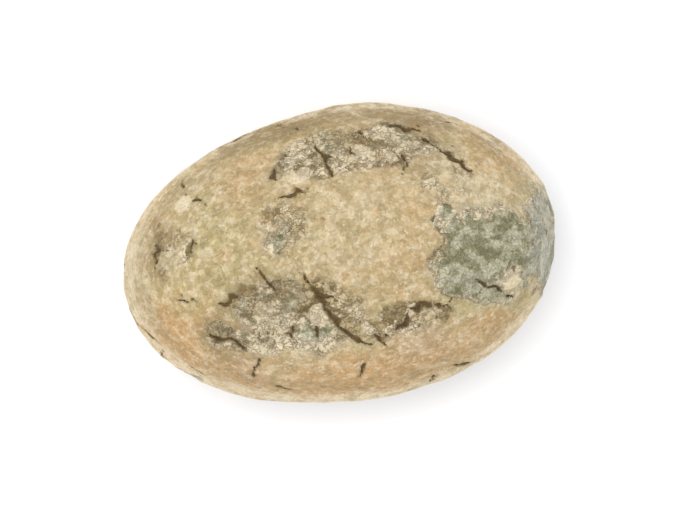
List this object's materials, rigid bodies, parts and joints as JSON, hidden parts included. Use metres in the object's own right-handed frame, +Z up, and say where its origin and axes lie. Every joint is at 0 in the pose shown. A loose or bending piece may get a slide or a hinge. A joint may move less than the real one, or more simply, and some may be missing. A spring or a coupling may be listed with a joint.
{
  "type": "purging croton seed",
  "caption": "Dry oval seed, flattened and bluntly four-sided, with a bead round its margin and a dull tan coat that is rubbed off in grey patches; it lies on a small flat spot.",
  "frame": {"origin": "centre of the bounding box's bottom, on the floor under the middle of the seed", "axes": "+X along the seed from its hilum end to its chalaza end, +Y across its width, +Z up from its belly to its arched back"},
  "size_m": [0.0124, 0.0084, 0.0066],
  "materials": {
    "seed_coat": "dull scurfy tan film, crackled and rubbed off in grey-green patches"
  },
  "bodies": {
    "root": {"seed": "seed_coat"}
  },
  "joints": []
}
